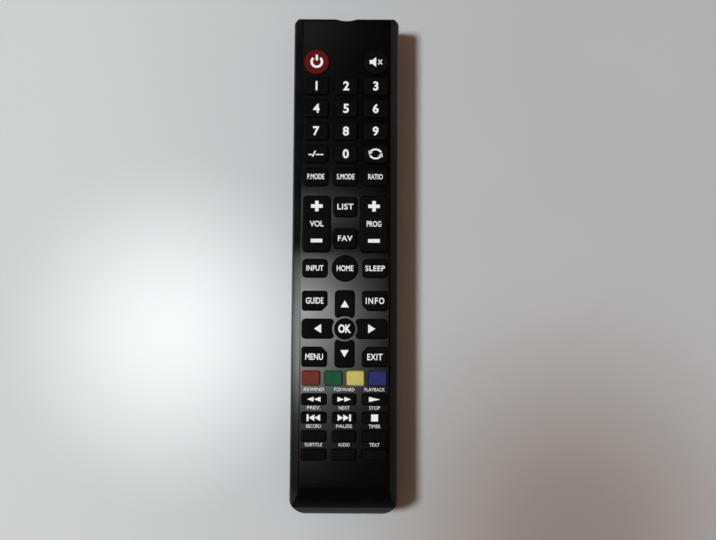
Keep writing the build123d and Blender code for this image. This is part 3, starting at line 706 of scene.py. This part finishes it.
legends = {
    "power_key": powerSign, "mute_key": muteSign,
    "two_digit_key": [wordShape("-/--", 2.4, 6.2, 1.0, printLook["digitWeight"])],
    "recall_key": recallSign,
    "picture_key": [wordShape("P.MODE", wordHeight, 7.0)],
    "sound_key": [wordShape("S.MODE", wordHeight, 7.3)],
    "ratio_key": [wordShape("RATIO", wordHeight, 6.0)],
    "list_key": [wordShape("LIST", 2.5, 6.6, 1.1)],
    "favourite_key": [wordShape("FAV", 2.3, 6.0, 1.1)],
    "input_key": [wordShape("INPUT", wordHeight, 7.0)],
    "home_key": [wordShape("HOME", 2.4, 6.8)],
    "sleep_key": [wordShape("SLEEP", wordHeight, 8.0, 1.1)],
    "guide_key": [wordShape("GUIDE", navigationHeight, 7.2)],
    "info_key": [wordShape("INFO", navigationHeight, 7.6, 1.25)],
    "menu_key": [wordShape("MENU", navigationHeight, 7.2)],
    "exit_key": [wordShape("EXIT", navigationHeight, 6.2, 1.1)],
    "ok_key": [wordShape("OK", 3.5, 5.2, 1.0, 0.04)],
    "up_key": [triangle(2.9, 3.4, 90)], "down_key": [triangle(2.9, 3.4, 270)],
    "left_key": [triangle(2.9, 3.7, 180)], "right_key": [triangle(2.9, 3.7, 0)],
    "rewind_key": [triangle(2.7, 2.0, 180, 1.4), triangle(2.7, 2.0, 180, -1.4)],
    "forward_key": [triangle(2.7, 2.0, 0, 1.4), triangle(2.7, 2.0, 0, -1.4)],
    "play_key": [triangle(4.6, 2.0, 0)],
    "previous_key": [bar(0.8, 2.7, -2.4), triangle(2.3, 2.7, 180, 0.8),
                     triangle(2.3, 2.7, 180, -1.5)],
    "next_key": [bar(0.8, 2.7, 2.4), triangle(2.3, 2.7, 0, 0.8), triangle(2.3, 2.7, 0, -1.5)],
    "stop_key": [bar(2.8, 2.8)],
    "volume_rocker": [rockerPlus, wordShape("VOL", 2.4, 5.7), rockerMinus],
    "channel_rocker": [rockerPlus, wordShape("PROG", 2.4, 6.0), rockerMinus],
}
for digit in range(10):
    legends[f"digit_{digit}_key"] = [
        wordShape(str(digit), printLook["digitHeight"], weight=printLook["digitWeight"])]
for node, shapes in legends.items():
    name = node.replace("_key", "_print").replace("_rocker", "_rocker_print")
    printOn(name, node, capTops[node], shapes)

# words printed on the face, each above the small key it belongs to: text, width
labelLook = {"above": 3.95, "height": 1.4}
labels = {
    "rewind_key": ("REWIND", 8.2), "forward_key": ("FORWARD", 8.2), "play_key": ("PLAYBACK", 8.2),
    "previous_key": ("PREV.", 5.4), "next_key": ("NEXT", 4.4), "stop_key": ("STOP", 4.4),
    "record_key": ("RECORD", 6.0), "pause_key": ("PAUSE", 6.4), "timer_key": ("TIMER", 4.8),
    "subtitle_key": ("SUBTITLE", 7.0), "audio_key": ("AUDIO", 4.6), "text_key": ("TEXT", 4.2),
}
labelShapes = []
for node, (text, width) in labels.items():
    x, y, top = capTops[node]
    word = wordShape(text, labelLook["height"], width, weight=0.0)
    labelShapes.append(moved(word, x, y + labelLook["above"]))
printOn("face_labels", "handset", (0, 0, faceHeight), labelShapes)
print("print done:", len(legends) + 1)


# Floor
floorLook = {
    "halfSize": 20000.0, "below": 0.02, "dull": "#b2b1b2", "roughness": 0.6,
    "cloudSize": 60.0, "cloudShare": 0.02, "toothSize": 0.8, "toothDepth": 0.02,
    # patches of painted light and painted shade on it, each with its middle and reach along X and
    # Y, and the colour it turns to
    "paintedLeftLight": ((-150.0, 0.0), (150.0, 500.0), "#cfd0d1"),  # painted light: a little paler, all along the left
    "paintedLampPool": ((-75.0, -28.0), (48.0, 48.0), "#fafbfc"),  # painted light, a lamp's pool, at the left
    "paintedShade": ((95.0, -115.0), (72.0, 72.0), "#8b7f79"),  # painted shade, dull and warm, at the lower right
    "spread": 1.7,  # how many times its reach a patch takes to fade away
}


def floorFinish():
    # matt emulsion on board, put on with a roller: pale, a little cloudy, with the roller's tooth
    # of 0.8 mm. Patches of painted light and painted shade are mixed into its colour: a patch's
    # share falls smoothly from one at its middle to none where it ends.
    finish, tree, place = startFinish("rolledEmulsionAndPaintedLight")
    clouds = addNode(tree, "TexNoise", {
        "Vector": place, "Scale": 1 / (floorLook["cloudSize"] * mm), "Detail": 3.0})
    uneven = addNode(tree, "MapRange", {
        **noiseMiddle, "Value": clouds.outputs["Fac"],
        "To Min": -floorLook["cloudShare"], "To Max": floorLook["cloudShare"]})
    colour = linearColour(floorLook["dull"])
    # each patch mixes painted light or painted shade into the floor's colour
    for patch in ("paintedLeftLight", "paintedLampPool", "paintedShade"):
        (x, y), (reachX, reachY), shade = floorLook[patch]
        scaled = addNode(tree, "Mapping", {
            "Vector": place, "Scale": (1 / (reachX * mm), 1 / (reachY * mm), 0),
            "Location": (-x / reachX, -y / reachY, 0)})
        distance = addNode(tree, "VectorMath", {0: scaled.outputs["Vector"]}, operation="LENGTH")
        fade = addNode(tree, "MapRange", {
            "Value": distance.outputs["Value"], "From Min": floorLook["spread"],
            "From Max": 0.0}, interpolation_type="SMOOTHSTEP")
        share = addNode(tree, "Math", {0: fade.outputs["Result"], 1: uneven.outputs["Result"]},
                        operation="ADD", use_clamp=True)
        colour = addNode(tree, "Mix", {0: share.outputs[0], 6: colour, 7: linearColour(shade)},
                         data_type="RGBA").outputs[2]
    tooth = addNode(tree, "TexNoise", {
        "Vector": place, "Scale": 1 / (floorLook["toothSize"] * mm), "Detail": 3.0})
    normal = addNode(tree, "Bump", {
        "Height": tooth.outputs["Fac"], "Distance": floorLook["toothDepth"] * mm})
    shader = addNode(tree, "BsdfPrincipled", {
        "Base Color": colour, "Roughness": floorLook["roughness"],
        "Normal": normal.outputs["Normal"]})
    addNode(tree, "OutputMaterial", {"Surface": shader.outputs["BSDF"]})
    return finish


def stageSheet(name, corners, finish):
    # a flat four-cornered sheet that belongs to the stage
    mesh = bpy.data.meshes.new(name)
    mesh.from_pydata(corners * mm, [], [(0, 1, 2, 3)])
    mesh.materials.append(finish)
    sheet = bpy.data.objects.new(name, mesh)
    scene.collection.objects.link(sheet)
    return sheet


floorCorners = np.array(boxCorners(floorLook["halfSize"], floorLook["halfSize"]))
floorCorners = np.column_stack((floorCorners, [-floorLook["below"]] * 4))
stageSheet("floor", floorCorners, floorFinish())
print("floor done")

# Light: a cool key from the left, a dim warm room, and two cards that only shine in the gloss
lightLook = {
    "keyFrom": (-0.70, 0.0, 1.25), "keyWidth": 11.5,  # its direction, and the sun's width
    "keyStrength": 3.29, "keyColour": "#edfaff",
    "room": "#73594a", "roomStrength": 1.4,
    # the background against the sine of its height over the horizon
    "background": [(0.0, "#c4c4c5"), (0.07, "#c4c4c5"), (0.14, "#61574f"), (0.2, "#61574f"),
                   (0.7, "#211f1c")],
}
cardLook = {  # millimetres, and radiance
    "height": 1020.0, "side": -1000.0,
    "across": [(-1000, 0.55), (-105, 0.65), (-92, 0.85), (-67, 1.0), (-30, 0.57), (8, 0.18),
               (30, 0.1), (50, 0.02), (70, 0.0)],
    "along": [(-190, 0.05), (-150, 0.3), (-104, 0.9), (-82, 1.6), (-58, 3.8), (-30, 4.6),
              (-2, 5.8), (33, 8.6), (56, 8.6), (80, 5.0), (112, 3.2), (119, 0.2), (145, 0.2),
              (163, 1.4), (174, 2.6), (194, 1.2), (203, 0.15), (330, 0.08), (380, 0.15),
              (430, 0.3), (450, 0.3)],
    "beside": [(-190, 0.02), (-104, 0.5), (-70, 2.2), (-30, 5.1), (33, 6.0), (85, 3.2),
               (112, 1.6), (120, 0.05), (450, 0.05)],
    "upright": [(105, 0.0), (150, 1.25), (250, 1.25), (300, 0.6), (1020, 0.5)],
}


def addCard(name, fixedAxis, fixedPlace, tables):
    # a glowing card, seen only in reflections, across one axis and spanning the tables of the
    # other two. A table has rows of (place, radiance), read in straight lines, and the card
    # shines with the product of both.
    finish, tree, place = startFinish(name)
    parts = addNode(tree, "SeparateXYZ", {"Vector": place})
    corners, strength = np.zeros((4, 3)), 1.0
    corners[:, "XYZ".index(fixedAxis)] = fixedPlace
    for (axis, rows), ends in zip(tables.items(), ((0, 0, 1, 1), (0, 1, 1, 0))):
        places, levels = np.array(rows, float).T
        corners[:, "XYZ".index(axis)] = places[[0, -1]][list(ends)]
        share = addNode(tree, "MapRange", {
            "Value": parts.outputs[axis], "From Min": places[0] * mm, "From Max": places[-1] * mm})
        ramp = addNode(tree, "ValToRGB", {"Fac": share.outputs["Result"]})
        fillRamp(ramp, (places - places[0]) / (places[-1] - places[0]),
                 [(level, level, level, 1.0) for level in levels / levels.max()])
        radiance = addNode(tree, "Math", {0: ramp.outputs["Color"], 1: levels.max()},
                           operation="MULTIPLY")
        strength = addNode(tree, "Math", {0: radiance.outputs[0], 1: strength},
                           operation="MULTIPLY").outputs[0]
    glow = addNode(tree, "Emission", {"Strength": strength})
    addNode(tree, "OutputMaterial", {"Surface": glow.outputs["Emission"]})
    card = stageSheet(name, corners, finish)
    card.visible_camera = card.visible_diffuse = card.visible_shadow = False


addCard("overhead_card", "Z", cardLook["height"],
        {"X": cardLook["across"], "Y": cardLook["along"]})
addCard("side_card", "X", cardLook["side"], {"Z": cardLook["upright"], "Y": cardLook["beside"]})

# the key is a sun, as from a lamp far off, so that the whole floor is lit
keyLight = bpy.data.lights.new("key_light", "SUN")
keyLight.angle, keyLight.energy = math.radians(lightLook["keyWidth"]), lightLook["keyStrength"]
keyLight.color = linearColour(lightLook["keyColour"])[:3]
keyLamp = bpy.data.objects.new("key_light", keyLight)
keyLamp.location = lightLook["keyFrom"]
keyLamp.rotation_euler = (-Vector(lightLook["keyFrom"])).to_track_quat("-Z", "Y").to_euler()
keyLamp.visible_glossy = False  # its gleam is the cards'
scene.collection.objects.link(keyLamp)

world = bpy.data.worlds.new("dimRoom")
scene.world = world
world.use_nodes = True
tree = world.node_tree
tree.nodes.clear()
generated = addNode(tree, "TexCoord").outputs["Generated"]
direction = addNode(tree, "SeparateXYZ", {"Vector": generated})
ramp = addNode(tree, "ValToRGB", {"Fac": direction.outputs["Z"]})
fillRamp(ramp, [spot for spot, shade in lightLook["background"]],
         [linearColour(shade) for spot, shade in lightLook["background"]])
# the background is what the camera, gloss and glass see; the room's warm light is for the rest
paths = addNode(tree, "LightPath")
mirrored = addNode(tree, "Math", {
    0: paths.outputs["Is Glossy Ray"], 1: paths.outputs["Is Transmission Ray"]}, operation="ADD")
seen = addNode(tree, "Math", {0: mirrored.outputs[0], 1: paths.outputs["Is Camera Ray"]},
               operation="ADD", use_clamp=True)
warm = addNode(tree, "Background", {
    "Color": linearColour(lightLook["room"]), "Strength": lightLook["roomStrength"]})
behind = addNode(tree, "Background", {"Color": ramp.outputs["Color"]})
both = addNode(tree, "MixShader", {0: seen.outputs[0], 1: warm.outputs[0], 2: behind.outputs[0]})
addNode(tree, "OutputWorld", {"Surface": both.outputs[0]})
print("light done")

# Camera: above the face, leaning a little towards the tail
cameraLook = {
    "target": (5.3, -3.6, 20.4),  # the point of the face's plane at the middle of the frame
    "distance": 450.0, "lean": 5.7, "roll": 0.3, "lens": 55.28, "sensor": 36.0, "near": 10.0,
}
lean, roll = math.radians(cameraLook["lean"]), math.radians(cameraLook["roll"])
back = Vector((0, -math.sin(lean), math.cos(lean)))
level, upright = Vector((1, 0, 0)), Vector((0, math.cos(lean), math.sin(lean)))
right = level * math.cos(roll) + upright * math.sin(roll)
up = upright * math.cos(roll) - level * math.sin(roll)
eye = Vector(cameraLook["target"]) * mm + back * cameraLook["distance"] * mm
camera = bpy.data.objects.new("camera", bpy.data.cameras.new("camera"))
camera.data.lens, camera.data.sensor_width = cameraLook["lens"], cameraLook["sensor"]
camera.data.clip_start = cameraLook["near"] * mm
camera.matrix_world = (Matrix.Translation(eye)
                       @ Matrix((right, up, back)).transposed().to_4x4())
scene.collection.objects.link(camera)
scene.camera = camera
scene.view_settings.view_transform = "Standard"
print("camera done")
